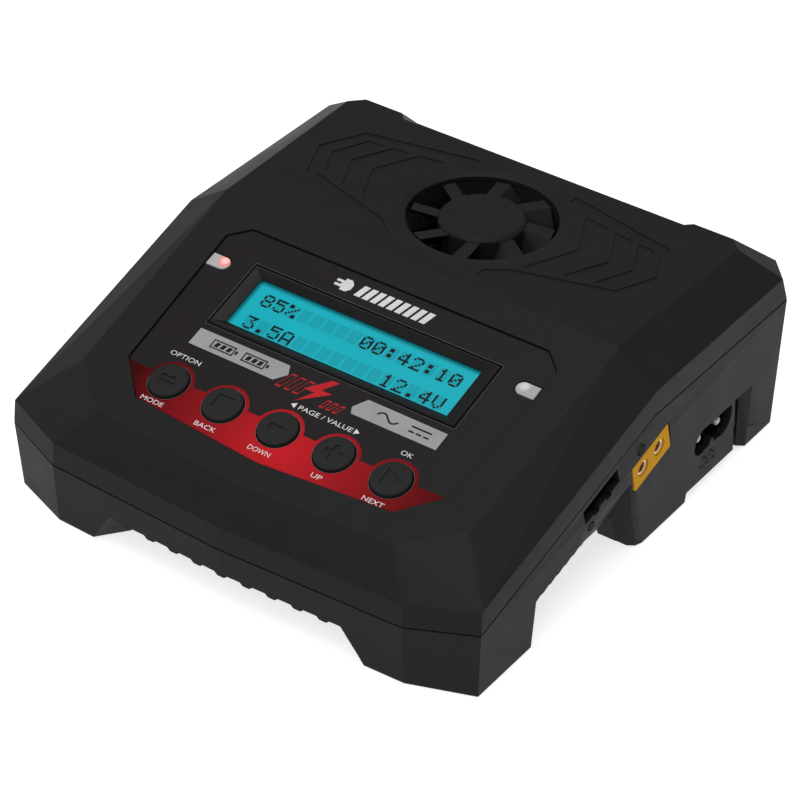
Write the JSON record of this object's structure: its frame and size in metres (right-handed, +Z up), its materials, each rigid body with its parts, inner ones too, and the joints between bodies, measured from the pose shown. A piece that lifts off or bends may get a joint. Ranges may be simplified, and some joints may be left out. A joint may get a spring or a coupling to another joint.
{
  "type": "balance battery charger",
  "caption": "Dual-channel balance charger: faceted two-part case, sloping panel with display and push buttons, top fan, battery and balance sockets on the sides.",
  "frame": {"origin": "middle of the base, on the plane the rubber pads rest on", "axes": "+X to the user's right, +Y to the back, +Z up"},
  "size_m": [0.1368, 0.148, 0.0543],
  "materials": {
    "shell": "fine moulded texture, dark grey-black",
    "overlay": "printed gloss panel sheet, near black running to deep red",
    "bezel": "semi-gloss black frame",
    "display": "lit cyan display with dark segments",
    "rubber": "matt",
    "socket_yellow": "amber moulded",
    "socket_black": "moulded",
    "lens": "frosted light window",
    "gold": "plated contacts",
    "nickel": "plated",
    "board": "green board",
    "aluminium": "extruded",
    "ferrite": "dull dark grey core",
    "sleeve": "shrunk sleeve",
    "copper": "wound wire"
  },
  "bodies": {
    "root": {"bottom_shell": "shell", "top_shell": "shell", "foot_pad_right_front": "rubber", "case_screw_right_front": "nickel", "foot_pad_right_rear": "rubber", "case_screw_right_rear": "nickel", "foot_pad_left_front": "rubber", "case_screw_left_front": "nickel", "foot_pad_left_rear": "rubber", "case_screw_left_rear": "nickel", "panel_overlay": "overlay", "lcd_bezel": "bezel", "lcd_glass": "display", "lcd_module": "bezel", "panel_board": "board", "switch_mode": "socket_black", "switch_stop": "socket_black", "switch_minus": "socket_black", "switch_plus": "socket_black", "switch_start": "socket_black", "led_window_left": "lens", "led_left": "lens", "led_window_right": "lens", "led_right": "lens", "fan_frame": "socket_black", "fan_motor": "copper", "output_socket_right": "socket_yellow", "output_socket_right_contact_front": "gold", "output_socket_right_contact_rear": "gold", "balance_socket_right": "socket_black", "balance_pins_right": "nickel", "output_socket_left": "socket_yellow", "output_socket_left_contact_front": "gold", "output_socket_left_contact_rear": "gold", "balance_socket_left": "socket_black", "balance_pins_left": "nickel", "dc_inlet": "socket_yellow", "dc_inlet_contact_front": "gold", "dc_inlet_contact_rear": "gold", "ac_inlet": "socket_black", "ac_pin_front": "nickel", "ac_pin_rear": "nickel", "main_board": "board", "heat_sink": "aluminium", "transformer": "ferrite", "bulk_capacitor_front": "sleeve", "bulk_capacitor_rear": "sleeve", "inductor_right": "copper", "inductor_left": "copper", "transistor_front": "socket_black", "transistor_rear": "socket_black"},
    "fan_rotor": {"fan_rotor": "socket_black"},
    "button_mode": {"button_mode": "rubber"},
    "button_stop": {"button_stop": "rubber"},
    "button_minus": {"button_minus": "rubber"},
    "button_plus": {"button_plus": "rubber"},
    "button_start": {"button_start": "rubber"}
  },
  "joints": [
    {"name": "fan_spin", "type": "hinge", "parent": "root", "child": "fan_rotor", "pos_m": [0, 0.0327, 0.0478], "axis": [0, 0, 1], "continuous": true},
    {"name": "press_mode", "type": "slide", "parent": "root", "child": "button_mode", "axis": [0, 0.3, -0.9539], "range_m": [0, 0.0008], "stiffness_N_per_m": 400, "springref_m": -0.0005},
    {"name": "press_stop", "type": "slide", "parent": "root", "child": "button_stop", "axis": [0, 0.3, -0.9539], "range_m": [0, 0.0008], "stiffness_N_per_m": 400, "springref_m": -0.0005},
    {"name": "press_minus", "type": "slide", "parent": "root", "child": "button_minus", "axis": [0, 0.3, -0.9539], "range_m": [0, 0.0008], "stiffness_N_per_m": 400, "springref_m": -0.0005},
    {"name": "press_plus", "type": "slide", "parent": "root", "child": "button_plus", "axis": [0, 0.3, -0.9539], "range_m": [0, 0.0008], "stiffness_N_per_m": 400, "springref_m": -0.0005},
    {"name": "press_start", "type": "slide", "parent": "root", "child": "button_start", "axis": [0, 0.3, -0.9539], "range_m": [0, 0.0008], "stiffness_N_per_m": 400, "springref_m": -0.0005}
  ]
}
